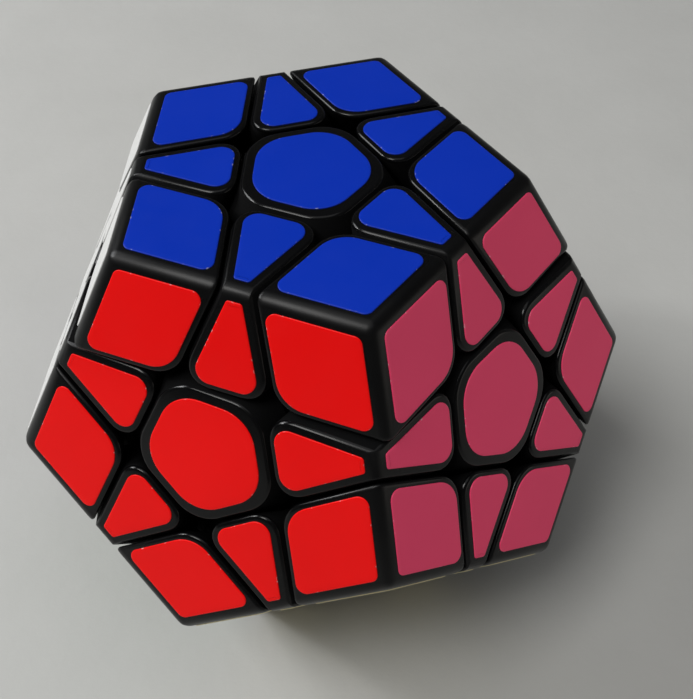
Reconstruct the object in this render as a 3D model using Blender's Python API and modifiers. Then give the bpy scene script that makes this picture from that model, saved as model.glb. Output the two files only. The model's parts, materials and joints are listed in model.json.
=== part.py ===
"""Dodecahedron twisty puzzle: a twelve-armed core carries twelve sprung centres, and thirty edge and
twenty corner pieces hook under one another around it.

Metres, +Z up, origin at the middle of the core. The blue face is up and the sky face is down.

Every piece is cut from two nested shells. The outer shell is sliced by twelve planes at CUT_OUTER from
the middle and shows on the outside. The inner shell holds the feet: it is sliced by twelve planes at
CUT_INNER and lies inside a ball, so a foot reaches under its neighbours and any layer can turn.
"""

import math
from itertools import combinations

import bmesh
import bpy
from mathutils import Matrix, Vector

MM = 0.001

# Driving dimensions
FACE_TO_FACE = 73.5 * MM
CUT_OUTER = 24.25 * MM
CUT_INNER = 20.0 * MM
HALF_GAP = 0.2 * MM
FEET_BALL = 32.8 * MM
OUTER_FLOOR = 33.2 * MM
NECK_INSET = 0.15 * MM

# Rounding: in plan at the corners of each piece, along the solid's ridges, and around each tile
CENTRE_CORNER = 3.4 * MM
EDGE_CORNER = 2.2 * MM
CORNER_CORNER = 2.6 * MM
RIDGE_BEVEL = 1.2 * MM
RIM_SHARE = 0.5
PLAN_STEPS = 2
RIM_STEPS = 1

# Core, screws, springs and the sockets of the centres
HUB_RADIUS = 10.0 * MM
ARM_RADIUS = 4.2 * MM
ARM_START = 8.0 * MM
ARM_END = 18.5 * MM
STALK_RADIUS = 5.2 * MM
STALK_END = 19.0 * MM
POCKET_RADIUS = 4.0 * MM
POCKET_FLOOR = 20.8 * MM
POCKET_ROOF = 33.9 * MM
SCREW_HOLE_RADIUS = 1.9 * MM
SOCKET_RADIUS = 1.8 * MM
SHANK_RADIUS = 1.5 * MM
SHANK_START = 10.3 * MM
HEAD_RADIUS = 3.4 * MM
HEAD_START = 29.2 * MM
HEAD_END = 31.4 * MM
SPRING_RADIUS = 2.75 * MM
SPRING_WIRE = 0.35 * MM
SPRING_TURNS = 4
SPRING_STEPS = 10
SPRING_START = 21.5 * MM
SPRING_END = 28.5 * MM
ROUND_SIDES = 12

HALF_HEIGHT = FACE_TO_FACE / 2
OVERLAP = 1.0 * MM
BLOCK = 200.0 * MM
BALL_LEVEL = 3

# How far the blue layer stands turned at rest, in degrees
BLUE_TURN = 2.8

# Each face: its name, and the elevation and azimuth of its normal in degrees
RING = math.degrees(math.atan(0.5))
FACES = (
    ("blue", 90.0, 0.0),
    ("red", RING, -126.0),
    ("pink", RING, -54.0),
    ("lime", RING, 18.0),
    ("yellow", RING, 90.0),
    ("white", RING, 162.0),
    ("cream", -RING, -90.0),
    ("grey", -RING, -18.0),
    ("orange", -RING, 54.0),
    ("purple", -RING, 126.0),
    ("green", -RING, -162.0),
    ("sky", -90.0, 0.0),
)
TURNING = ("blue", "cream", "purple")
# Corners that are one solid with their three edges
JOINED = (("grey", "orange", "sky"), ("pink", "lime", "grey"), ("lime", "yellow", "orange"))

# Angles between a piece's axis and the normals of the faces around it
BETWEEN_FACES = math.acos(1 / math.sqrt(5))
EDGE_TO_FACE = BETWEEN_FACES / 2
EDGE_TO_END = math.pi / 2 - EDGE_TO_FACE
CORNER_TO_FACE = math.acos(math.sqrt((5 + 2 * math.sqrt(5)) / 15))

BLACK_PLASTIC = ((0.012, 0.012, 0.013), 0.32, 0.0)
CORE_PLASTIC = ((0.05, 0.05, 0.055), 0.45, 0.0)
SCREW_STEEL = ((0.55, 0.55, 0.56), 0.3, 1.0)
SPRING_STEEL = ((0.62, 0.6, 0.56), 0.28, 1.0)


def polar(angle, turn):
    """The direction at this angle from +Z, turned about Z from +X. Both in radians."""
    return Vector((math.sin(angle) * math.cos(turn), math.sin(angle) * math.sin(turn), math.cos(angle)))


def face_normals():
    """Each face's outward normal by its name."""
    return {
        name: polar(math.radians(90 - elevation), math.radians(azimuth))
        for name, elevation, azimuth in FACES
    }


def pointing(axis, toward):
    """The rotation that takes +Z to axis, and +X to the side of it where toward lies."""
    z = axis.normalized()
    x = (toward - toward.dot(z) * z).normalized()
    return Matrix((x, z.cross(x), z)).transposed().to_4x4()


def clear_scene():
    for thing in list(bpy.data.objects):
        bpy.data.objects.remove(thing)


def new_collection(name):
    made = bpy.data.collections.new(name)
    bpy.context.scene.collection.children.link(made)
    return made


def new_material(name, finish):
    colour, roughness, metallic = finish
    made = bpy.data.materials.new(name)
    made.use_nodes = True
    shader = made.node_tree.nodes["Principled BSDF"]
    shader.inputs["Base Color"].default_value = (*colour, 1)
    shader.inputs["Roughness"].default_value = roughness
    shader.inputs["Metallic"].default_value = metallic
    return made


def above(normals, distance):
    """The planes that keep what is at least this far along each normal."""
    return [(-normal, -distance) for normal in normals]


def below(normals, distance):
    """The planes that keep what is at most this far along each normal."""
    return [(normal, distance) for normal in normals]


def sliced(planes, ball=None):
    """A convex solid: a block, or a ball of this radius, sliced by the planes (normal, distance)."""
    solid = bmesh.new()
    if ball:
        bmesh.ops.create_icosphere(solid, subdivisions=BALL_LEVEL, radius=ball)
    else:
        bmesh.ops.create_cube(solid, size=BLOCK)
    for normal, distance in planes:
        cut = bmesh.ops.bisect_plane(
            solid,
            geom=solid.verts[:] + solid.edges[:] + solid.faces[:],
            plane_co=normal * distance,
            plane_no=normal,
            clear_outer=True,
        )
        rim = [part for part in cut["geom_cut"] if isinstance(part, bmesh.types.BMEdge)]
        bmesh.ops.contextual_create(solid, geom=rim)
    bmesh.ops.recalc_face_normals(solid, faces=solid.faces)
    return solid


def edges_between(solid, normals):
    """The edges whose two faces both look along one of these normals."""
    marked = {face for face in solid.faces if any(face.normal.dot(n) > 0.9999 for n in normals)}
    return [edge for edge in solid.edges if len(set(edge.link_faces) & marked) == 2]


def tile(tops, walls, floor, corner):
    """The outer half of a piece: its tops, side walls and floor as planes, its plan corners rounded."""
    solid = sliced(tops + walls + floor)
    upright = edges_between(solid, [normal for normal, _ in walls])
    bmesh.ops.bevel(
        solid, geom=upright, offset=corner, segments=PLAN_STEPS, profile=0.5, affect="EDGES"
    )
    bmesh.ops.recalc_face_normals(solid, faces=solid.faces)
    weight = solid.edges.layers.float.new("bevel_weight_edge")
    looks_out = {face for face in solid.faces if any(face.normal.dot(n) > 0.9999 for n, _ in tops)}
    for edge in solid.edges:
        outside = len(set(edge.link_faces) & looks_out)
        edge[weight] = (0.0, RIM_SHARE, 1.0)[outside]
    return solid


def as_object(name, solid, collection):
    """An object holding this bmesh, which is freed."""
    mesh = bpy.data.meshes.new(name)
    solid.to_mesh(mesh)
    solid.free()
    made = bpy.data.objects.new(name, mesh)
    collection.objects.link(made)
    return made


def as_cutter(name, solid, cutters):
    made = as_object(name, solid, cutters)
    made.hide_render = True
    made.display_type = "WIRE"
    return made


def add_bevel(made):
    bevel = made.modifiers.new("rounding", "BEVEL")
    bevel.limit_method = "WEIGHT"
    bevel.width = RIDGE_BEVEL
    bevel.segments = RIM_STEPS


def add_boolean(made, other, operation):
    boolean = made.modifiers.new(other.name, "BOOLEAN")
    boolean.operation = operation
    boolean.solver = "EXACT"
    boolean.object = other


def finished(made, name):
    """The object's mesh with its modifiers applied, for its copies to share."""
    graph = bpy.context.evaluated_depsgraph_get()
    mesh = bpy.data.meshes.new_from_object(made.evaluated_get(graph))
    mesh.name = name
    mesh.shade_smooth()
    mesh.set_sharp_from_angle(angle=math.radians(30))
    return mesh


def turned(profile):
    """A solid of revolution about Z. The profile is (radius, height) from its top to its bottom."""
    solid = bmesh.new()
    points = [solid.verts.new((radius, 0, height)) for radius, height in profile]
    line = [solid.edges.new(pair) for pair in zip(points, points[1:])]
    bmesh.ops.spin(
        solid,
        geom=points + line,
        cent=(0, 0, 0),
        axis=(0, 0, 1),
        angle=2 * math.pi,
        steps=ROUND_SIDES,
        use_duplicate=False,
    )
    bmesh.ops.remove_doubles(solid, verts=solid.verts, dist=MM / 1000)
    bmesh.ops.recalc_face_normals(solid, faces=solid.faces)
    return solid


def centre_mesh(cutters):
    """A centre: a five-sided cap on a hollow stalk, around +Z, with a neighbouring face towards +X."""
    around = [polar(BETWEEN_FACES, math.radians(72 * step)) for step in range(5)]
    up = Vector((0, 0, 1))
    cap = tile(
        below([up], HALF_HEIGHT),
        below(around, CUT_OUTER - HALF_GAP),
        above([up], OUTER_FLOOR),
        CENTRE_CORNER,
    )
    stalk_top = OUTER_FLOOR + OVERLAP
    stalk = turned([(0, stalk_top), (STALK_RADIUS, stalk_top), (STALK_RADIUS, STALK_END), (0, STALK_END)])
    pocket = turned(
        [
            (0, POCKET_ROOF),
            (POCKET_RADIUS, POCKET_ROOF),
            (POCKET_RADIUS, POCKET_FLOOR),
            (SCREW_HOLE_RADIUS, POCKET_FLOOR),
            (SCREW_HOLE_RADIUS, STALK_END - OVERLAP),
            (0, STALK_END - OVERLAP),
        ]
    )
    made = as_cutter("centre_pattern", cap, cutters)
    add_bevel(made)
    add_boolean(made, as_cutter("centre_stalk", stalk, cutters), "UNION")
    add_boolean(made, as_cutter("centre_pocket", pocket, cutters), "DIFFERENCE")
    return finished(made, "centre")


def edge_pattern(cutters):
    """An edge: two tiles over a neck and a foot, around +Z, with one of its two faces towards +X."""
    own = [polar(EDGE_TO_FACE, turn) for turn in (0, math.pi)]
    ends = [polar(EDGE_TO_END, turn) for turn in (math.pi / 2, -math.pi / 2)]
    up = Vector((0, 0, 1))
    tiles = tile(
        below(own, HALF_HEIGHT),
        above(own, CUT_OUTER + HALF_GAP) + below(ends, CUT_OUTER - HALF_GAP),
        above([up], OUTER_FLOOR),
        EDGE_CORNER,
    )
    neck = sliced(
        above(own, CUT_OUTER + HALF_GAP + NECK_INSET)
        + below(ends, CUT_INNER - HALF_GAP - NECK_INSET)
        + below([up], OUTER_FLOOR + OVERLAP)
        + above([up], FEET_BALL - OVERLAP)
    )
    foot = sliced(above(own, CUT_INNER + HALF_GAP) + below(ends, CUT_INNER - HALF_GAP), FEET_BALL)
    made = as_cutter("edge_pattern", tiles, cutters)
    add_bevel(made)
    add_boolean(made, as_cutter("edge_neck", neck, cutters), "UNION")
    add_boolean(made, as_cutter("edge_foot", foot, cutters), "UNION")
    return made


def corner_pattern(cutters):
    """A corner: three tiles over a neck and a foot, around +Z, with one of its faces towards +X."""
    own = [polar(CORNER_TO_FACE, math.radians(120 * step)) for step in range(3)]
    up = Vector((0, 0, 1))
    tiles = tile(
        below(own, HALF_HEIGHT),
        above(own, CUT_OUTER + HALF_GAP),
        above([up], OUTER_FLOOR),
        CORNER_CORNER,
    )
    neck = sliced(above(own, CUT_OUTER + HALF_GAP + NECK_INSET) + below([up], OUTER_FLOOR + OVERLAP))
    foot = sliced(above(own, CUT_INNER + HALF_GAP), FEET_BALL)
    made = as_cutter("corner_pattern", tiles, cutters)
    add_bevel(made)
    add_boolean(made, as_cutter("corner_neck", neck, cutters), "UNION")
    add_boolean(made, as_cutter("corner_foot", foot, cutters), "UNION")
    return made


def joined_mesh(corner, edge, cutters):
    """A corner and its three edges as one solid, linked across the grooves below the surface."""
    own = [polar(CORNER_TO_FACE, math.radians(120 * step)) for step in range(3)]
    made = as_cutter("joined_pattern", mesh_copy(corner), cutters)
    for index, end in enumerate(own):
        first, second = own[index - 2], own[index - 1]
        ridge = (first + second).normalized()
        across = first.cross(second).normalized()
        side = ridge.cross(across)
        arm = mesh_copy(edge)
        arm.transform(pointing(ridge, first))
        add_boolean(made, as_cutter(f"joined_edge_{index}", arm, cutters), "UNION")
        bridge = sliced(
            below([end], CUT_OUTER + OVERLAP)
            + above([end], CUT_OUTER - OVERLAP)
            + below([ridge], HALF_HEIGHT)
            + above([ridge], OUTER_FLOOR + OVERLAP)
            + below([side, -side], 2 * OVERLAP)
        )
        add_boolean(made, as_cutter(f"joined_bridge_{index}", bridge, cutters), "UNION")
    return finished(made, "corner_with_edges")


def mesh_copy(mesh):
    solid = bmesh.new()
    solid.from_mesh(mesh)
    return solid


def arm_profile(with_screw):
    """One arm of the core, with its screw driven in, or with the open socket of a separate screw."""
    top = ARM_END
    if with_screw:
        tip = [(0, HEAD_END), (HEAD_RADIUS, HEAD_END), (HEAD_RADIUS, HEAD_START), (SHANK_RADIUS, HEAD_START)]
        tip.append((SHANK_RADIUS, top))
    else:
        tip = [(0, HUB_RADIUS - OVERLAP), (SOCKET_RADIUS, HUB_RADIUS - OVERLAP), (SOCKET_RADIUS, top)]
    return tip + [(ARM_RADIUS, top), (ARM_RADIUS, ARM_START), (0, ARM_START)]


def core_mesh(normals, cutters):
    """The hub and its twelve arms. The screws of the faces that stay still are one solid with it."""
    arms = bmesh.new()
    for name, normal in normals.items():
        arm = turned(arm_profile(name not in TURNING))
        arm.transform(pointing(normal, normal.orthogonal()))
        piece = bpy.data.meshes.new("arm")
        arm.to_mesh(piece)
        arm.free()
        arms.from_mesh(piece)
    hub = bmesh.new()
    bmesh.ops.create_icosphere(hub, subdivisions=BALL_LEVEL, radius=HUB_RADIUS)
    made = as_cutter("core_pattern", hub, cutters)
    add_boolean(made, as_cutter("core_arms", arms, cutters), "UNION")
    return finished(made, "core")


def screw_mesh(cutters):
    solid = turned(
        [
            (0, HEAD_END),
            (HEAD_RADIUS, HEAD_END),
            (HEAD_RADIUS, HEAD_START),
            (SHANK_RADIUS, HEAD_START),
            (SHANK_RADIUS, SHANK_START),
            (0, SHANK_START),
        ]
    )
    return finished(as_cutter("screw_pattern", solid, cutters), "screw")


def spring_curve():
    """A coil spring around +Z as a round wire."""
    curve = bpy.data.curves.new("spring", "CURVE")
    curve.dimensions = "3D"
    curve.bevel_depth = SPRING_WIRE
    curve.bevel_resolution = 2
    curve.use_fill_caps = True
    count = SPRING_TURNS * SPRING_STEPS + 1
    line = curve.splines.new("POLY")
    line.points.add(count - 1)
    for index, point in enumerate(line.points):
        turn = 2 * math.pi * index / SPRING_STEPS
        height = SPRING_START + (SPRING_END - SPRING_START) * index / (count - 1)
        point.co = (SPRING_RADIUS * math.cos(turn), SPRING_RADIUS * math.sin(turn), height, 1)
    return curve


def at_rest(names, rotation):
    """Where a piece with these colours stands at rest: the blue layer is left a little turned."""
    turn = BLUE_TURN if "blue" in names else 0.0
    return Matrix.Rotation(math.radians(turn), 4, "Z") @ rotation


def place(name, shape, rotation, finish, parts):
    """One piece: its shape turned into place about the middle of the core, with its own material."""
    made = bpy.data.objects.new(name, shape)
    made.matrix_world = rotation
    parts.objects.link(made)
    if not shape.materials:
        shape.materials.append(None)
    made.material_slots[0].link = "OBJECT"
    made.material_slots[0].material = new_material(name, finish)


def build():
    clear_scene()
    parts = new_collection("dodecahedron_puzzle")
    cutters = new_collection("cutters")
    normals = face_normals()
    edge = finished(edge_pattern(cutters), "edge")
    corner = finished(corner_pattern(cutters), "corner")
    joined = joined_mesh(corner, edge, cutters)
    centre, screw, spring = centre_mesh(cutters), screw_mesh(cutters), spring_curve()

    def touching(names):
        return all(normals[a].dot(normals[b]) > 0.4 for a, b in combinations(names, 2))

    place("core", core_mesh(normals, cutters), Matrix.Identity(4), CORE_PLASTIC, parts)
    for name, normal in normals.items():
        neighbour = next(n for n in normals.values() if 0.4 < n.dot(normal) < 0.9)
        turn = pointing(normal, neighbour)
        place(f"centre_{name}", centre, at_rest([name], turn), BLACK_PLASTIC, parts)
        if name in TURNING:
            place(f"screw_{name}", screw, turn, SCREW_STEEL, parts)
            place(f"spring_{name}", spring, turn, SPRING_STEEL, parts)
    for names in filter(touching, combinations(normals, 3)):
        axis = sum((normals[name] for name in names), Vector())
        shape, kind = (joined, "corner_and_edges_") if names in JOINED else (corner, "corner_")
        turn = at_rest(names, pointing(axis, normals[names[0]]))
        place(kind + "_".join(names), shape, turn, BLACK_PLASTIC, parts)
    for names in filter(touching, combinations(normals, 2)):
        if any(set(names) < set(triple) for triple in JOINED):
            continue
        axis = normals[names[0]] + normals[names[1]]
        turn = at_rest(names, pointing(axis, normals[names[0]]))
        place("edge_" + "_".join(names), edge, turn, BLACK_PLASTIC, parts)


build()
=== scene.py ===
"""The looks of the dodecahedron twisty puzzle: finely rounded mouldings, vinyl stickers, and the
core with its screws and springs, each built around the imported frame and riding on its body."""

import json
import math
from itertools import combinations

import bmesh
import bpy
from mathutils import Matrix, Vector


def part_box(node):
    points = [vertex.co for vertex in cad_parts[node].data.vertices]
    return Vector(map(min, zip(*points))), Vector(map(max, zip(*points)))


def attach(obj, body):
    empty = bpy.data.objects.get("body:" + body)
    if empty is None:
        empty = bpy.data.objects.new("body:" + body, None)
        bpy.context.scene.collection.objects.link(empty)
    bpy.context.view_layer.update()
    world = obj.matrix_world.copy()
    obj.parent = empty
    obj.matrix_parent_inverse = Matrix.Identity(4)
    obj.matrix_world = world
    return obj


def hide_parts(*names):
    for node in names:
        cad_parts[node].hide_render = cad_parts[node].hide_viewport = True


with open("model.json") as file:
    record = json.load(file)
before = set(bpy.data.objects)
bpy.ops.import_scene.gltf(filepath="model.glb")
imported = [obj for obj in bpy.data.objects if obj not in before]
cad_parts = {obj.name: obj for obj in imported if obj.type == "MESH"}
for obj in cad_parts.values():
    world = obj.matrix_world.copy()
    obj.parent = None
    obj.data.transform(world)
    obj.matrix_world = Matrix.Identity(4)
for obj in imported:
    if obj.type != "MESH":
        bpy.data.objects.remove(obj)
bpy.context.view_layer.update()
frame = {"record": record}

MM = 0.001

# The design that the frame was made to
CUT_OUTER = 24.25 * MM
CUT_INNER = 20.0 * MM
HALF_GAP = 0.2 * MM
FEET_BALL = 32.8 * MM
OUTER_FLOOR = 33.2 * MM
NECK_INSET = 0.15 * MM
HALF_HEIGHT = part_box("centre_blue")[1].z

# How far the blue layer stands turned at rest, in degrees
BLUE_TURN = 2.8

# Rounding of the mouldings: radii, and how many facets and sides stand for a curve
CENTRE_RADIUS = 5.6 * MM
EDGE_RADIUS = 2.4 * MM
CORNER_RADIUS = 4.6 * MM
RIDGE_RADIUS = 2.0 * MM
RIM_RADIUS = 0.52 * MM
PLAN_STEPS = 8
RIM_STEPS = 5
BALL_LEVEL = 4
ROUND_SIDES = 48

# Depths below a face: where the plastic turns dull, and between which the wear on ridges fades
DULL_DEPTH = 1.3 * MM
WEAR_FULL = 0.9 * MM
WEAR_NONE = 1.6 * MM

# Mesh work: how far joined solids overlap, the block that is sliced, the width of a bevel of
# weight 1, how near points are welded, how far a cosine may be off, and the angles left sharp
OVERLAP = 1.0 * MM
BLOCK = 200.0 * MM
BEVEL_UNIT = 2.0 * MM
WELD = 0.001 * MM
COSINE_SLACK = 0.0001
MOULDING_SHARP = math.radians(34)
STICKER_SHARP = math.radians(50)

# Centres: the stalk, and the pocket in it for the spring and the screw's head
STALK_RADIUS = 5.2 * MM
STALK_END = 19.0 * MM
STALK_LIP = 0.4 * MM
POCKET_RADIUS = 4.0 * MM
POCKET_FLOOR = 20.8 * MM
POCKET_ROOF = 33.9 * MM
SCREW_HOLE_RADIUS = 1.9 * MM

# Stickers: where their sides lie from the middle of a face, and their corner radii
STICKER_THICK = 0.13 * MM
CENTRE_SIDE = 7.25 * MM
EDGE_SIDE = 7.48 * MM
INNER_SIDE = 9.98 * MM
OUTER_SIDE = 21.2 * MM
CENTRE_STICKER_RADIUS = 5.1 * MM
EDGE_INNER_RADIUS = 1.84 * MM
EDGE_OUTER_RADIUS = 0.45 * MM
CORNER_INNER_RADIUS = 4.1 * MM
CORNER_SIDE_RADIUS = 1.26 * MM
CORNER_OUTER_RADIUS = 1.1 * MM
ARC_STEP = math.radians(7.5)

# A sticker's section from its foot to its face: how far in, how high as a share of its thickness,
# and the rim attribute
STICKER_SECTION = (
    (0.0 * MM, -0.02, 1),
    (0.0 * MM, 0.55, 1),
    (0.05 * MM, 0.9, 1),
    (0.14 * MM, 1.0, 0),
    (0.5 * MM, 1.0, 0),
)

# Core
HUB_RADIUS = 10.0 * MM
ARM_RADIUS = 4.2 * MM
ARM_START = 8.0 * MM
ARM_END = 18.5 * MM
ARM_CHAMFER = 0.5 * MM
SOCKET_RADIUS = 1.8 * MM

# Screws
SHANK_RADIUS = 1.5 * MM
SHANK_START = 10.3 * MM
TIP_RADIUS = 0.6 * MM
THREAD_PITCH = 0.8 * MM
THREAD_DEPTH = 0.22 * MM
HEAD_RADIUS = 3.4 * MM
HEAD_START = 29.2 * MM
HEAD_END = 31.4 * MM
HEAD_DOME = 0.5 * MM
RECESS_WIDTH = 0.8 * MM
RECESS_HEIGHT = 2.6 * MM

# Springs. They stop short of the pocket's floor, so that a centre can lift without meeting one.
SPRING_RADIUS = 2.75 * MM
SPRING_WIRE = 0.35 * MM
SPRING_TURNS = 6
SPRING_STEPS = 24
SPRING_START = 21.9 * MM
SPRING_END = 28.7 * MM
SPRING_CLOSING = 0.55

# The floor, in metres: rings in its flat part, where that ends, and the wall's radius and height
FLOOR_RINGS = (0, 0.3, 0.7)
FLOOR_FLAT = 1.2
WALL_RADIUS = 2.0
WALL_HEIGHT = 1.8
SWEEP_STEP = 6

# Camera
CAMERA_PLACE = Vector((-16.4, -92.3, 112.7)) * MM
CAMERA_LOOK = Vector((0.1438, 0.6256, -0.7668))
CAMERA_UP = Vector((0.1683, 0.7480, 0.6420))
CAMERA_LENS = 47.64
SENSOR_WIDTH = 36
CLIP_START = 5 * MM

# Area lights, all aimed at the middle of the puzzle: name, place, sides, watts and colour
LIGHTS = (
    ("window", (-0.66, 0.45, 0.60), (0.40, 0.40), 5.0, (0.97, 0.985, 1.0)),
    ("glint", (-0.76, 0.20, 0.60), (0.12, 0.12), 2.4, (1.0, 1.0, 1.0)),
    ("ceiling", (-0.50, -0.23, 0.95), (0.42, 0.42), 6.0, (1.0, 0.99, 0.97)),
    ("overhead", (0, 0, 1.75), (1.2, 1.2), 4.4, (1.0, 1.0, 1.0)),
    ("fill", (0.95, -0.6, 0.12), (0.9, 0.5), 1.6, (1.0, 0.93, 0.86)),
)
WORLD_COLOUR = (0.9, 0.93, 1.0, 1)
WORLD_STRENGTH = 0.1

# Each face: its colour, the elevation of its normal, and its azimuth from +X, in degrees
RING = math.degrees(math.atan(0.5))
FACES = (
    ("blue", 90.0, 0.0),
    ("red", RING, -126.0),
    ("pink", RING, -54.0),
    ("lime", RING, 18.0),
    ("yellow", RING, 90.0),
    ("white", RING, 162.0),
    ("cream", -RING, -90.0),
    ("grey", -RING, -18.0),
    ("orange", -RING, 54.0),
    ("purple", -RING, 126.0),
    ("green", -RING, -162.0),
    ("sky", -90.0, 0.0),
)
FACE_SIDES = 5
SIDE_TURN = 360 / FACE_SIDES

# Angles between the axes of pieces and of faces
BETWEEN_FACES = math.acos(1 / math.sqrt(5))
EDGE_TO_FACE = BETWEEN_FACES / 2
EDGE_TO_END = math.pi / 2 - EDGE_TO_FACE
CORNER_TO_FACE = math.acos(math.sqrt((5 + 2 * math.sqrt(5)) / 15))
UP = Vector((0, 0, 1))

# What a piece is called, by how many faces it shows
WORDS = {1: "centre", 2: "edge", 3: "corner"}

STICKER_COLOURS = {
    "blue": (0.0008, 0.025, 0.37),
    "red": (0.79, 0.0012, 0.0012),
    "pink": (0.83, 0.058, 0.156),
    "lime": (0.16, 0.52, 0.02),
    "yellow": (0.82, 0.60, 0.01),
    "white": (0.62, 0.62, 0.61),
    "cream": (0.78, 0.70, 0.40),
    "grey": (0.20, 0.20, 0.21),
    "orange": (0.82, 0.17, 0.01),
    "purple": (0.12, 0.02, 0.28),
    "green": (0.005, 0.16, 0.04),
    "sky": (0.11, 0.45, 0.70),
}


def polar(angle, turn):
    """The direction at this angle from +Z, turned about Z from +X. Both in radians."""
    across = math.sin(angle)
    return Vector((across * math.cos(turn), across * math.sin(turn), math.cos(angle)))


NORMALS = {
    name: polar(math.radians(90 - elevation), math.radians(azimuth))
    for name, elevation, azimuth in FACES
}
BODY_OF = {
    node: body for body, nodes in frame["record"]["behaviour"]["bodies"].items() for node in nodes
}


def adjoining(first, second):
    """Whether these are the normals of two faces that share an edge."""
    return abs(first.dot(second) - math.cos(BETWEEN_FACES)) < COSINE_SLACK


def neighbour_of(normal):
    """The normal of the first face that shares an edge with the face of this normal."""
    return next(other for other in NORMALS.values() if adjoining(other, normal))


def pointing(axis, toward):
    """The rotation that takes +Z to axis, and +X to the side of it where toward lies."""
    z = axis.normalized()
    x = (toward - toward.dot(z) * z).normalized()
    return Matrix((x, z.cross(x), z)).transposed().to_4x4()


def at_rest(names, rotation):
    """Where a piece with these colours stands at rest: the blue layer is left a little turned."""
    turn = BLUE_TURN if "blue" in names else 0.0
    return Matrix.Rotation(math.radians(turn), 4, "Z") @ rotation


# ---------------------------------------------------------------- materials


class Nodes:
    """A node-based material being put together."""

    def __init__(self, name):
        self.material = bpy.data.materials.new(name)
        self.material.use_nodes = True
        self.tree = self.material.node_tree
        self.shader = self.tree.nodes["Principled BSDF"]

    def add(self, kind, values=None, **settings):
        node = self.tree.nodes.new(kind)
        for key, value in settings.items():
            setattr(node, key, value)
        for key, value in (values or {}).items():
            node.inputs[key].default_value = value
        return node

    def link(self, source, target):
        self.tree.links.new(source, target)

    def feed(self, socket, source):
        """Links a node's output to this socket of the shader."""
        self.link(source, self.shader.inputs[socket])

    def fix(self, socket, value):
        """Gives this socket of the shader one value all over."""
        self.shader.inputs[socket].default_value = value

    def noise(self, scale, detail, roughness=0.55):
        place = self.add("ShaderNodeTexCoord")
        values = {"Scale": scale, "Detail": detail, "Roughness": roughness}
        made = self.add("ShaderNodeTexNoise", values)
        self.link(place.outputs["Object"], made.inputs["Vector"])
        return made.outputs["Fac"]

    def attribute(self, name):
        return self.add("ShaderNodeAttribute", attribute_name=name).outputs["Fac"]

    def calculated(self, operation, first, second):
        """The result of a Math node. second is a node's output or a number."""
        made = self.add("ShaderNodeMath", operation=operation)
        self.link(first, made.inputs[0])
        if isinstance(second, float):
            made.inputs[1].default_value = second
        else:
            self.link(second, made.inputs[1])
        return made.outputs[0]

    def between(self, source, low, high, from_low=0.3, from_high=0.7):
        values = {"From Min": from_low, "From Max": from_high, "To Min": low, "To Max": high}
        made = self.add("ShaderNodeMapRange", values)
        self.link(source, made.inputs["Value"])
        return made.outputs["Result"]

    def colours(self, share, first, second):
        """The mix of two colours. first is a colour or a node's output."""
        made = self.add("ShaderNodeMix", data_type="RGBA")
        self.link(share, made.inputs["Factor"])
        if isinstance(first, tuple):
            made.inputs[6].default_value = (*first, 1)
        else:
            self.link(first, made.inputs[6])
        made.inputs[7].default_value = (*second, 1)
        return made.outputs[2]

    def bump(self, source, strength, distance):
        made = self.add("ShaderNodeBump", {"Strength": strength, "Distance": distance})
        self.link(source, made.inputs["Height"])
        self.feed("Normal", made.outputs["Normal"])


def black_plastic():
    """Injection-moulded ABS: polished, with a fine grain, and rubbed duller along the ridges."""
    made = Nodes("black_plastic")
    patches = made.noise(scale=90.0, detail=4.0)
    tone = made.colours(patches, (0.0014, 0.0014, 0.0016), (0.0028, 0.0028, 0.003))
    made.feed("Base Color", tone)
    rubbed = made.calculated("MULTIPLY", made.attribute("ridge"), 0.17)
    polish = made.between(patches, low=0.13, high=0.20)
    made.feed("Roughness", made.calculated("ADD", polish, rubbed))
    made.bump(made.noise(scale=3800.0, detail=2.0), strength=0.08, distance=0.02 * MM)
    made.fix("Specular IOR Level", 0.2)
    return made.material


def dull_plastic():
    """The same plastic in the gaps and inside, where it is as moulded and never polished."""
    made = Nodes("dull_plastic")
    flow = made.noise(scale=140.0, detail=4.0)
    tone = made.colours(flow, (0.0018, 0.0018, 0.002), (0.0034, 0.0034, 0.0036))
    made.feed("Base Color", tone)
    made.feed("Roughness", made.between(flow, low=0.75, high=0.95))
    made.bump(made.noise(scale=2600.0, detail=2.0), strength=0.2, distance=0.04 * MM)
    made.fix("Specular IOR Level", 0.06)
    return made.material


def sticker_material(name, colour):
    """Printed vinyl with a satin face. Its cut rim is pale in flecks: partly the backing where it
    is chipped, partly a painted highlight.
    """
    made = Nodes("sticker_" + name)
    darker = tuple(0.93 * part for part in colour)
    lighter = tuple(min(1.0, 1.05 * part + 0.002) for part in colour)
    # Pale flecks on the cut rim: partly chipped backing, partly a painted highlight along the
    # sticker edges
    backing_and_highlight = tuple(0.5 * part + 0.3 for part in colour)
    face = made.colours(made.noise(scale=60.0, detail=2.0), darker, lighter)
    fleck_pattern = made.noise(scale=1500.0, detail=3.0)
    chips_and_highlights = made.between(fleck_pattern, low=0.0, high=1.0, from_low=0.62, from_high=0.70)
    chip_and_highlight_share = made.calculated("MULTIPLY", made.attribute("rim"), chips_and_highlights)
    made.feed("Base Color", made.colours(chip_and_highlight_share, face, backing_and_highlight))
    scuffs = made.noise(scale=220.0, detail=3.0)
    made.feed("Roughness", made.between(scuffs, low=0.30, high=0.40))
    made.bump(made.noise(scale=420.0, detail=3.0), strength=0.10, distance=0.1 * MM)
    made.fix("Specular IOR Level", 0.18)
    return made.material


def metal(name, colour, low, high, scale):
    """Bright metal, patchy in tone and grain. low and high are its roughness."""
    made = Nodes(name)
    patches = made.noise(scale, detail=4.0)
    darker = tuple(0.8 * part for part in colour)
    made.feed("Base Color", made.colours(patches, darker, colour))
    made.feed("Roughness", made.between(patches, low, high))
    made.bump(made.noise(scale * 3, detail=2.0), strength=0.15, distance=0.03 * MM)
    made.fix("Metallic", 1.0)
    return made.material


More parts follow.
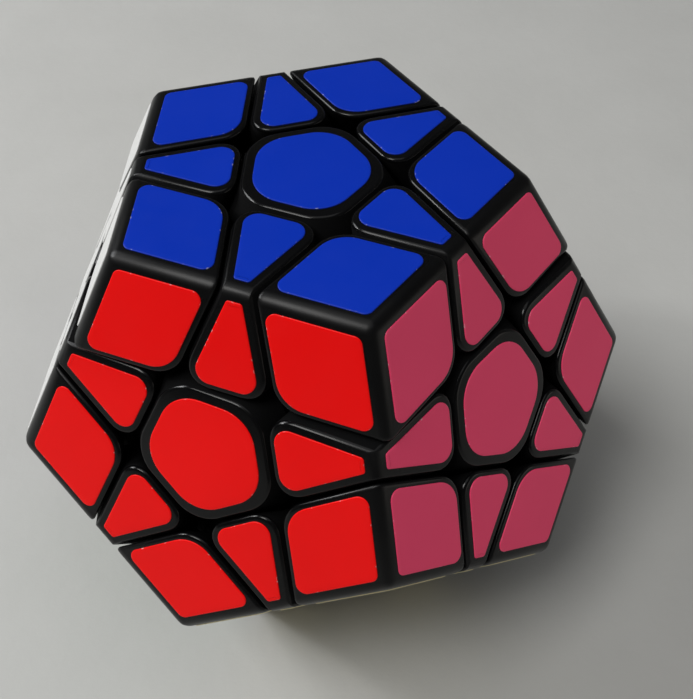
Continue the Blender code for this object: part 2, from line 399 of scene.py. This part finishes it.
def core_plastic():
    """Dark grey matte plastic with faint flow marks."""
    made = Nodes("core_plastic")
    flow = made.noise(scale=160.0, detail=4.0)
    made.feed("Base Color", made.colours(flow, (0.04, 0.04, 0.043), (0.065, 0.065, 0.068)))
    made.feed("Roughness", made.between(flow, low=0.4, high=0.55))
    made.bump(made.noise(scale=2500.0, detail=2.0), strength=0.15, distance=0.03 * MM)
    return made.material


# ---------------------------------------------------------------- mesh work


def above(normals, distance):
    """The planes that keep what is at least this far along each normal."""
    return [(-normal, -distance) for normal in normals]


def below(normals, distance):
    """The planes that keep what is at most this far along each normal."""
    return [(normal, distance) for normal in normals]


def sliced(planes, ball=None):
    """A convex solid: a block, or a ball of this radius, sliced by planes (normal, distance)."""
    solid = bmesh.new()
    if ball:
        bmesh.ops.create_icosphere(solid, subdivisions=BALL_LEVEL, radius=ball)
    else:
        bmesh.ops.create_cube(solid, size=BLOCK)
    for normal, distance in planes:
        cut = bmesh.ops.bisect_plane(
            solid,
            geom=solid.verts[:] + solid.edges[:] + solid.faces[:],
            plane_co=normal * distance,
            plane_no=normal,
            clear_outer=True,
        )
        rim = [part for part in cut["geom_cut"] if isinstance(part, bmesh.types.BMEdge)]
        bmesh.ops.contextual_create(solid, geom=rim)
    bmesh.ops.recalc_face_normals(solid, faces=solid.faces)
    return solid


def turned(profile):
    """A surface of revolution about Z. The profile is a line of (radius, height) points."""
    solid = bmesh.new()
    points = [solid.verts.new((radius, 0, height)) for radius, height in profile]
    line = [solid.edges.new(pair) for pair in zip(points, points[1:])]
    bmesh.ops.spin(
        solid,
        geom=points + line,
        cent=(0, 0, 0),
        axis=(0, 0, 1),
        angle=2 * math.pi,
        steps=ROUND_SIDES,
        use_duplicate=False,
    )
    bmesh.ops.remove_doubles(solid, verts=solid.verts, dist=WELD)
    bmesh.ops.recalc_face_normals(solid, faces=solid.faces)
    return solid


def merged(solids):
    """One bmesh that holds all of these, which are freed."""
    whole = bmesh.new()
    for solid in solids:
        part = bpy.data.meshes.new("part")
        solid.to_mesh(part)
        solid.free()
        whole.from_mesh(part)
        bpy.data.meshes.remove(part)
    return whole


def as_object(name, solid):
    """An object holding this bmesh, which is freed."""
    mesh = bpy.data.meshes.new(name)
    solid.to_mesh(mesh)
    solid.free()
    made = bpy.data.objects.new(name, mesh)
    bpy.context.scene.collection.objects.link(made)
    return made


def combined(name, solid, joined=(), cut=(), rounded=False):
    """The mesh of a solid with others joined to it and then others cut from it.

    rounded bevels the solid's weighted edges first."""
    made = as_object(name, solid)
    if rounded:
        bevel = made.modifiers.new("rounding", "BEVEL")
        bevel.limit_method = "WEIGHT"
        bevel.width = BEVEL_UNIT
        bevel.segments = RIM_STEPS
        bevel.harden_normals = False
    helpers = []
    for operation, others in (("UNION", joined), ("DIFFERENCE", cut)):
        for other in others:
            helper = as_object(f"{name}_helper", other)
            boolean = made.modifiers.new(helper.name, "BOOLEAN")
            boolean.operation = operation
            boolean.solver = "EXACT"
            boolean.object = helper
            helpers.append(helper)
    graph = bpy.context.evaluated_depsgraph_get()
    mesh = bpy.data.meshes.new_from_object(made.evaluated_get(graph))
    mesh.name = name
    mesh.shade_smooth()
    mesh.set_sharp_from_angle(angle=MOULDING_SHARP)
    for thing in (made, *helpers):
        bpy.data.objects.remove(thing)
    return mesh


# ---------------------------------------------------------------- mouldings


def looking(solid, normals):
    """The faces that look along one of these normals."""
    return {
        face
        for face in solid.faces
        if any(face.normal.dot(normal) > 1 - COSINE_SLACK for normal in normals)
    }


def width_for(radius, edge):
    """How far a bevel of this radius reaches along the faces beside an edge."""
    return radius * math.tan(edge.calc_face_angle() / 2)


def tile(tops, walls, floor, radius):
    """The outer half of a piece, from the planes of its tops, side walls and floor.

    Its plan corners are rounded to this radius. Each outer edge gets the bevel weight that gives
    its own radius, as a share of BEVEL_UNIT."""
    solid = sliced(tops + walls + floor)
    marked = looking(solid, [normal for normal, _ in walls])
    upright = [edge for edge in solid.edges if len(set(edge.link_faces) & marked) == 2]
    bmesh.ops.bevel(
        solid,
        geom=upright,
        offset=width_for(radius, upright[0]),
        segments=PLAN_STEPS,
        profile=0.5,
        affect="EDGES",
    )
    bmesh.ops.recalc_face_normals(solid, faces=solid.faces)
    weight = solid.edges.layers.float.new("bevel_weight_edge")
    outside = looking(solid, [normal for normal, _ in tops])
    for edge in solid.edges:
        count = len(set(edge.link_faces) & outside)
        if count:
            edge[weight] = width_for((RIM_RADIUS, RIDGE_RADIUS)[count - 1], edge) / BEVEL_UNIT
    return solid


def marked_surface(mesh, own):
    """Sets two attributes on the mesh of a piece whose faces have these normals.

    On points, ridge is 1 where two of its faces meet and 0 elsewhere. On polygons, sunk is 1 on
    the walls of the gaps and on all that lies deeper, and 0 outside."""
    ridge = mesh.attributes.new("ridge", "FLOAT", "POINT")
    for vertex, value in zip(mesh.vertices, ridge.data):
        second = sorted([0.0] + [normal.dot(vertex.co) for normal in own])[-2]
        depth = HALF_HEIGHT - second
        value.value = min(1.0, max(0.0, (WEAR_NONE - depth) / (WEAR_NONE - WEAR_FULL)))
    sunk = mesh.attributes.new("sunk", "INT", "FACE")
    for face, value in zip(mesh.polygons, sunk.data):
        height = max(normal.dot(face.center) for normal in own)
        value.value = int(height < HALF_HEIGHT - DULL_DEPTH)
    return mesh


def centre_mesh():
    """A centre: a five-sided cap on a hollow stalk, around +Z, with a neighbour towards +X."""
    around = [polar(BETWEEN_FACES, math.radians(SIDE_TURN * step)) for step in range(FACE_SIDES)]
    cap = tile(
        below([UP], HALF_HEIGHT),
        below(around, CUT_OUTER - HALF_GAP),
        above([UP], OUTER_FLOOR),
        CENTRE_RADIUS,
    )
    top = OUTER_FLOOR + OVERLAP
    stalk = turned(
        [
            (0, top),
            (STALK_RADIUS, top),
            (STALK_RADIUS, STALK_END + STALK_LIP),
            (STALK_RADIUS - STALK_LIP, STALK_END),
            (0, STALK_END),
        ]
    )
    pocket = turned(
        [
            (0, POCKET_ROOF),
            (POCKET_RADIUS, POCKET_ROOF),
            (POCKET_RADIUS, POCKET_FLOOR),
            (SCREW_HOLE_RADIUS, POCKET_FLOOR),
            (SCREW_HOLE_RADIUS, STALK_END - OVERLAP),
            (0, STALK_END - OVERLAP),
        ]
    )
    return marked_surface(combined("centre", cap, [stalk], [pocket], rounded=True), [UP])


def edge_mesh():
    """An edge: two tiles over a neck and a foot, around +Z, with one of its faces towards +X."""
    own = [polar(EDGE_TO_FACE, turn) for turn in (0, math.pi)]
    ends = [polar(EDGE_TO_END, turn) for turn in (math.pi / 2, -math.pi / 2)]
    tiles = tile(
        below(own, HALF_HEIGHT),
        above(own, CUT_OUTER + HALF_GAP) + below(ends, CUT_OUTER - HALF_GAP),
        above([UP], OUTER_FLOOR),
        EDGE_RADIUS,
    )
    neck = sliced(
        above(own, CUT_OUTER + HALF_GAP + NECK_INSET)
        + below(ends, CUT_INNER - HALF_GAP - NECK_INSET)
        + below([UP], OUTER_FLOOR + OVERLAP)
        + above([UP], FEET_BALL - OVERLAP)
    )
    sides = above(own, CUT_INNER + HALF_GAP) + below(ends, CUT_INNER - HALF_GAP)
    foot = sliced(sides, ball=FEET_BALL)
    return marked_surface(combined("edge", tiles, [neck, foot], rounded=True), own)


def corner_mesh():
    """A corner: three tiles over a neck and a foot, around +Z, with one of its faces towards +X."""
    own = [polar(CORNER_TO_FACE, math.radians(120 * step)) for step in range(3)]
    tiles = tile(
        below(own, HALF_HEIGHT),
        above(own, CUT_OUTER + HALF_GAP),
        above([UP], OUTER_FLOOR),
        CORNER_RADIUS,
    )
    sides = above(own, CUT_OUTER + HALF_GAP + NECK_INSET)
    neck = sliced(sides + below([UP], OUTER_FLOOR + OVERLAP))
    foot = sliced(above(own, CUT_INNER + HALF_GAP), ball=FEET_BALL)
    return marked_surface(combined("corner", tiles, [neck, foot], rounded=True), own)


# ---------------------------------------------------------------- stickers


def crossing(first, second):
    """Where two lines (direction of the normal, distance) of a plane meet."""
    (a, p), (b, q) = first, second
    ax, ay, bx, by = math.cos(a), math.sin(a), math.cos(b), math.sin(b)
    scale = ax * by - ay * bx
    return Vector(((p * by - q * ay) / scale, (ax * q - bx * p) / scale))


def rounded_outline(lines, radii):
    """The outline inside these lines, which go round counter-clockwise.

    radii[i] rounds it where line i meets the next."""
    outline = []
    for index, radius in enumerate(radii):
        (start, p), (end, q) = lines[index], lines[(index + 1) % len(lines)]
        middle = crossing((start, p - radius), (end, q - radius))
        sweep = (end - start) % (2 * math.pi)
        steps = max(2, round(sweep / ARC_STEP))
        for step in range(steps + 1):
            turn = start + sweep * step / steps
            outline.append(middle + radius * Vector((math.cos(turn), math.sin(turn))))
    return outline


def side(turn, distance):
    """A straight side of a sticker, whose outward normal is at this angle in degrees."""
    return math.radians(turn), distance


def sticker_outlines():
    """The outlines on a face at +Z with a neighbour towards +X, by how many faces a piece shows.

    The edge sticker is the one towards +X, and the corner sticker lies between it and the next."""
    centre = rounded_outline(
        [side(SIDE_TURN * step, CENTRE_SIDE) for step in range(FACE_SIDES)],
        [CENTRE_STICKER_RADIUS] * FACE_SIDES,
    )
    edge = rounded_outline(
        [
            side(0, OUTER_SIDE),
            side(SIDE_TURN, EDGE_SIDE),
            side(180, -INNER_SIDE),
            side(-SIDE_TURN, EDGE_SIDE),
        ],
        [EDGE_OUTER_RADIUS, EDGE_INNER_RADIUS, EDGE_INNER_RADIUS, EDGE_OUTER_RADIUS],
    )
    corner = rounded_outline(
        [
            side(0, OUTER_SIDE),
            side(SIDE_TURN, OUTER_SIDE),
            side(180, -INNER_SIDE),
            side(180 + SIDE_TURN, -INNER_SIDE),
        ],
        [CORNER_OUTER_RADIUS, CORNER_SIDE_RADIUS, CORNER_INNER_RADIUS, CORNER_SIDE_RADIUS],
    )
    return {1: centre, 2: edge, 3: corner}


def sticker_solid(outline):
    """A thin sticker on a face at +Z, its rim drawn in a little at the top.

    The rim attribute is 1 on its cut side and 0 on its face."""
    solid = bmesh.new()
    mark = solid.verts.layers.float.new("rim")
    rings = []
    for inset, lift, rim in STICKER_SECTION:
        ring = []
        for index, point in enumerate(outline):
            before, after = outline[index - 1], outline[(index + 1) % len(outline)]
            along = (after - before).normalized()
            inward = Vector((-along.y, along.x))
            spot = point + inward * inset
            vert = solid.verts.new((spot.x, spot.y, HALF_HEIGHT + lift * STICKER_THICK))
            vert[mark] = rim
            ring.append(vert)
        rings.append(ring)
    for low, high in zip(rings, rings[1:]):
        for index in range(len(low)):
            after = (index + 1) % len(low)
            solid.faces.new((low[index], low[after], high[after], high[index]))
    solid.faces.new(rings[-1])
    solid.faces.new(rings[0][::-1])
    return solid


# ---------------------------------------------------------------- assembly


def place(name, mesh, rotation, material, body, slot, nodes):
    """A copy of the mesh turned into place, riding on its body in place of these CAD nodes."""
    made = bpy.data.objects.new(name, mesh.copy())
    made.data.name = name
    made.data.transform(rotation)
    made.data.materials.clear()
    made.data.materials.append(material)
    bpy.context.scene.collection.objects.link(made)
    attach(made, body)
    if nodes:
        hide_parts(*nodes)
    return made


def all_pieces():
    """The colours of every centre, edge and corner: sets of faces that all share edges."""
    return [
        names
        for count in WORDS
        for names in combinations(NORMALS, count)
        if all(adjoining(NORMALS[a], NORMALS[b]) for a, b in combinations(names, 2))
    ]


def node_of(names):
    """The CAD node that holds the piece with these colours."""
    own = WORDS[len(names)] + "_" + "_".join(names)
    if own in BODY_OF:
        return own
    return next(
        node
        for node in BODY_OF
        if node.startswith("corner_and") and set(names) <= set(node.split("_"))
    )


def build_mouldings(pieces):
    shapes = {1: centre_mesh(), 2: edge_mesh(), 3: corner_mesh()}
    plastic, dull = black_plastic(), dull_plastic()
    for names in pieces:
        count = len(names)
        axis = sum((NORMALS[name] for name in names), Vector())
        toward = neighbour_of(axis) if count == 1 else NORMALS[names[0]]
        rotation = at_rest(names, pointing(axis, toward))
        node = node_of(names)
        name = f"{WORDS[count]}_moulding_" + "_".join(names)
        body = BODY_OF[node]
        made = place(name, shapes[count], rotation, plastic, body, "black_plastic", [node])
        made.data.materials.append(dull)
        for face, sunk in zip(made.data.polygons, made.data.attributes["sunk"].data):
            face.material_index = sunk.value


def sticker_rotation(name, names):
    """Where the sticker of this colour stands at rest, on the piece with these colours."""
    own = NORMALS[name]
    others = [NORMALS[other] for other in names if other != name]
    toward = others[0] if others else neighbour_of(own)
    if len(others) == 2 and own.dot(others[0].cross(others[1])) < 0:
        toward = others[1]
    return at_rest(names, pointing(own, toward))


def build_stickers(pieces):
    """All stickers of one colour that ride on one body are one piece."""
    outlines = sticker_outlines()
    groups = {}
    for names in pieces:
        for name in names:
            solid = sticker_solid(outlines[len(names)])
            solid.transform(sticker_rotation(name, names))
            groups.setdefault((name, BODY_OF[node_of(names)]), []).append(solid)
    materials = {name: sticker_material(name, STICKER_COLOURS[name]) for name in NORMALS}
    here = Matrix.Identity(4)
    for (name, body), solids in groups.items():
        whole = bpy.data.meshes.new("stickers")
        group = merged(solids)
        group.to_mesh(whole)
        group.free()
        whole.shade_smooth()
        whole.set_sharp_from_angle(angle=STICKER_SHARP)
        slot = "sticker_" + name
        place(f"stickers_{name}_{body}", whole, here, materials[name], body, slot, [])


# ---------------------------------------------------------------- core, screws and springs


def core_mesh():
    """The hub, its twelve arms with chamfered ends and webs, and the socket in each arm."""
    floor = HUB_RADIUS - OVERLAP
    root = ARM_START + OVERLAP / 2
    profile = [
        (0, floor),
        (SOCKET_RADIUS, floor),
        (SOCKET_RADIUS, ARM_END),
        (ARM_RADIUS - ARM_CHAMFER, ARM_END),
        (ARM_RADIUS, ARM_END - ARM_CHAMFER),
        (ARM_RADIUS, HUB_RADIUS + 2 * OVERLAP),
        (ARM_RADIUS + ARM_CHAMFER, HUB_RADIUS),
        (ARM_RADIUS + ARM_CHAMFER / 2, root),
        (0, root),
    ]
    arms = []
    for normal in NORMALS.values():
        arm = turned(profile)
        arm.transform(pointing(normal, normal.orthogonal()))
        arms.append(arm)
    hub = bmesh.new()
    bmesh.ops.create_icosphere(hub, subdivisions=BALL_LEVEL, radius=HUB_RADIUS)
    return combined("core_fine", hub, [merged(arms)])


def screw_mesh():
    """A pan-head screw with a cross recess, and rings around its shank for the thread."""
    profile = [
        (0, HEAD_END),
        (0.6 * HEAD_RADIUS, HEAD_END - 0.1 * HEAD_DOME),
        (0.9 * HEAD_RADIUS, HEAD_END - HEAD_DOME),
        (HEAD_RADIUS, HEAD_END - 2 * HEAD_DOME),
        (HEAD_RADIUS, HEAD_START),
        (SHANK_RADIUS, HEAD_START),
        (SHANK_RADIUS, ARM_END),
    ]
    for turn in range(int((ARM_END - SHANK_START - THREAD_PITCH) / THREAD_PITCH)):
        top = ARM_END - turn * THREAD_PITCH
        profile.append((SHANK_RADIUS - THREAD_DEPTH, top - THREAD_PITCH / 2))
        profile.append((SHANK_RADIUS, top - THREAD_PITCH))
    profile.append((TIP_RADIUS, SHANK_START))
    profile.append((0, SHANK_START))
    recess = []
    for quarter in range(2):
        bar = bmesh.new()
        bmesh.ops.create_cube(bar, size=1)
        bar.transform(
            Matrix.Translation((0, 0, HEAD_END))
            @ Matrix.Rotation(quarter * math.pi / 2, 4, "Z")
            @ Matrix.Diagonal((1.1 * HEAD_RADIUS, RECESS_WIDTH, RECESS_HEIGHT, 1))
        )
        recess.append(bar)
    return combined("screw_fine", turned(profile), cut=recess)


def spring_curve(name):
    """A coil spring around +Z, its end turns closed up, as a round wire."""
    curve = bpy.data.curves.new(name, "CURVE")
    curve.dimensions = "3D"
    curve.bevel_depth = SPRING_WIRE
    curve.bevel_resolution = 3
    curve.use_fill_caps = True
    count = SPRING_TURNS * SPRING_STEPS + 1
    line = curve.splines.new("POLY")
    line.points.add(count - 1)
    for index, point in enumerate(line.points):
        share = index / (count - 1)
        eased = share - math.sin(2 * math.pi * share) / (2 * math.pi) * SPRING_CLOSING
        turn = 2 * math.pi * index / SPRING_STEPS
        height = SPRING_START + (SPRING_END - SPRING_START) * eased
        point.co = (SPRING_RADIUS * math.cos(turn), SPRING_RADIUS * math.sin(turn), height, 1)
    return curve


def build_inside():
    """The core, and a screw and a spring for each face.

    Only the three faces that turn have CAD nodes of their own for these."""
    plastic = core_plastic()
    screw_steel = metal("screw_steel", (0.60, 0.60, 0.61), low=0.22, high=0.34, scale=900.0)
    spring_steel = metal("spring_steel", (0.62, 0.60, 0.56), low=0.24, high=0.36, scale=1400.0)
    here = Matrix.Identity(4)
    place("core_moulding", core_mesh(), here, plastic, "core", "core_plastic", ["core"])
    screw = screw_mesh()
    for name, normal in NORMALS.items():
        rotation = pointing(normal, normal.orthogonal())
        turning = f"screw_{name}" in BODY_OF
        nodes = [f"screw_{name}"] if turning else []
        place(f"screw_fine_{name}", screw, rotation, screw_steel, "core", "screw_steel", nodes)
        spring = bpy.data.objects.new(f"spring_fine_{name}", spring_curve(f"spring_fine_{name}"))
        spring.data.materials.append(spring_steel)
        spring.matrix_world = rotation
        bpy.context.scene.collection.objects.link(spring)
        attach(spring, "core")
        if turning:
            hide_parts(f"spring_{name}")


# ---------------------------------------------------------------- stage


def add_camera():
    camera = bpy.data.cameras.new("camera")
    camera.lens = CAMERA_LENS
    camera.sensor_width = SENSOR_WIDTH
    camera.clip_start = CLIP_START
    made = bpy.data.objects.new("camera", camera)
    back = -CAMERA_LOOK.normalized()
    right = CAMERA_UP.cross(back).normalized()
    turn = Matrix((right, back.cross(right), back)).transposed().to_4x4()
    made.matrix_world = Matrix.Translation(CAMERA_PLACE) @ turn
    bpy.context.scene.collection.objects.link(made)
    bpy.context.scene.camera = made


def floor_material():
    made = Nodes("floor")
    cloth = made.noise(scale=35.0, detail=5.0)
    made.feed("Base Color", made.colours(cloth, (0.40, 0.40, 0.385), (0.46, 0.46, 0.445)))
    made.fix("Roughness", 0.75)
    made.bump(made.noise(scale=300.0, detail=4.0), strength=0.2, distance=0.4 * MM)
    return made.material


def add_floor():
    """A round studio floor that sweeps up into a wall. The lowest stickers stand on it."""
    sweep = WALL_RADIUS - FLOOR_FLAT
    profile = [(radius, 0) for radius in FLOOR_RINGS]
    for degrees in range(0, 91, SWEEP_STEP):
        turn = math.radians(degrees)
        profile.append((FLOOR_FLAT + sweep * math.sin(turn), sweep * (1 - math.cos(turn))))
    profile.append((WALL_RADIUS, WALL_HEIGHT))
    made = as_object("floor", turned(profile))
    made.data.shade_smooth()
    made.location = (0, 0, -HALF_HEIGHT - STICKER_THICK)
    made.data.materials.append(floor_material())


def add_lights():
    for name, spot, sides, watts, colour in LIGHTS:
        light = bpy.data.lights.new(name, "AREA")
        light.shape = "RECTANGLE"
        light.size, light.size_y = sides
        light.energy = watts
        light.color = colour
        made = bpy.data.objects.new(name, light)
        aim = (-Vector(spot)).to_track_quat("-Z", "Y").to_matrix().to_4x4()
        made.matrix_world = Matrix.Translation(spot) @ aim
        bpy.context.scene.collection.objects.link(made)
    world = bpy.data.worlds.new("studio")
    world.use_nodes = True
    background = world.node_tree.nodes["Background"]
    background.inputs["Color"].default_value = WORLD_COLOUR
    background.inputs["Strength"].default_value = WORLD_STRENGTH
    bpy.context.scene.world = world


add_camera()
add_floor()
add_lights()
pieces = all_pieces()
build_mouldings(pieces)
build_stickers(pieces)
build_inside()
bpy.context.scene.view_settings.view_transform = "Standard"
